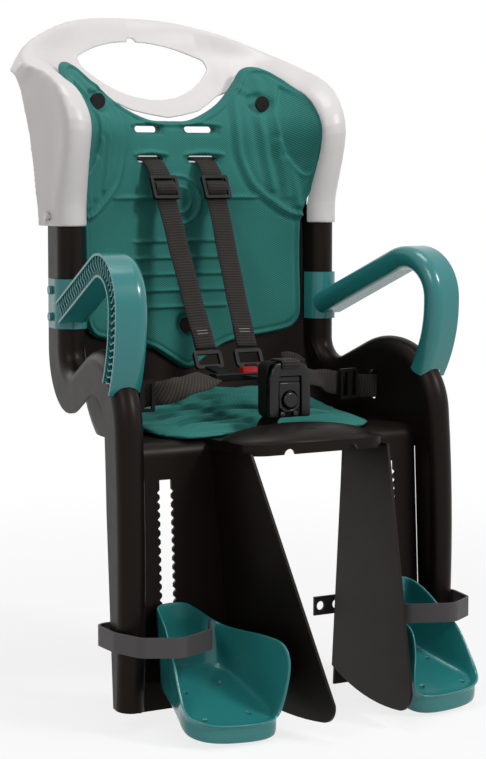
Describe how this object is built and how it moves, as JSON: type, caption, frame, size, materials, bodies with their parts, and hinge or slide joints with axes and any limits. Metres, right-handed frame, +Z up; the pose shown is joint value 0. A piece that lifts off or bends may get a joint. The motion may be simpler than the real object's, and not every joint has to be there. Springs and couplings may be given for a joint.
{
  "type": "child bike seat",
  "caption": "Moulded rear child bike seat with leg guards, sliding footrests, armrests, padded bucket, head frame with handle and a webbing harness.",
  "frame": {"origin": "centre of the carrier block's underside, where the seat stands on its carrier", "axes": "+X right, +Y back, +Z up; the seat faces -Y"},
  "size_m": [0.4202, 0.5161, 0.7256],
  "materials": {
    "shell_black": "fine matt grain",
    "frame_white": "satin",
    "teal_plastic": "semi-gloss",
    "teal_pad": "embossed foam with a fine twill",
    "webbing": "woven",
    "black_plastic": "satin",
    "red_plastic": "gloss",
    "rubber": "matt",
    "steel": "zinc plated"
  },
  "bodies": {
    "seat": {"seat_shell": "shell_black", "head_frame": "frame_white", "head_frame_screw_left": "steel", "head_frame_screw_right": "steel", "armrest_left": "teal_plastic", "armrest_right": "teal_plastic", "armrest_screws_left": "steel", "armrest_screws_right": "steel", "back_pad": "teal_pad", "seat_pad": "teal_pad", "pad_snaps": "black_plastic", "shoulder_strap_left": "webbing", "shoulder_strap_right": "webbing", "shoulder_adjuster_left": "black_plastic", "shoulder_adjuster_right": "black_plastic", "strap_loop_left": "black_plastic", "strap_loop_right": "black_plastic", "strap_bar_left": "steel", "strap_bar_right": "steel", "lap_strap_left": "webbing", "lap_strap_right": "webbing", "lap_adjuster_left": "black_plastic", "lap_adjuster_right": "black_plastic", "buckle_housing": "black_plastic", "buckle_cover": "black_plastic", "tongue_bar": "black_plastic", "crotch_strap": "webbing", "carrier_block": "black_plastic", "carrier_screws": "steel"},
    "footrest_left": {"footrest_left": "teal_plastic", "footrest_catch_left": "black_plastic", "catch_screws_left": "steel", "strap_peg_left": "black_plastic", "foot_strap_left": "rubber"},
    "footrest_right": {"footrest_right": "teal_plastic", "footrest_catch_right": "black_plastic", "catch_screws_right": "steel", "strap_peg_right": "black_plastic", "foot_strap_right": "rubber"},
    "push_button": {"buckle_button": "black_plastic"},
    "release": {"release_button": "red_plastic"}
  },
  "joints": [
    {"name": "footrest_left_slide", "type": "slide", "parent": "seat", "child": "footrest_left", "axis": [0, 0.0419, 0.9991], "range_m": [0, 0.12]},
    {"name": "footrest_right_slide", "type": "slide", "parent": "seat", "child": "footrest_right", "axis": [0, 0.0419, 0.9991], "range_m": [0, 0.12]},
    {"name": "push_button_press", "type": "slide", "parent": "seat", "child": "push_button", "axis": [0, 1, 0], "range_m": [0, 0.003], "stiffness_N_per_m": 1500, "springref_m": -0.003},
    {"name": "release_press", "type": "slide", "parent": "seat", "child": "release", "axis": [0, 0, -1], "range_m": [0, 0.0025], "stiffness_N_per_m": 1200, "springref_m": -0.003}
  ]
}
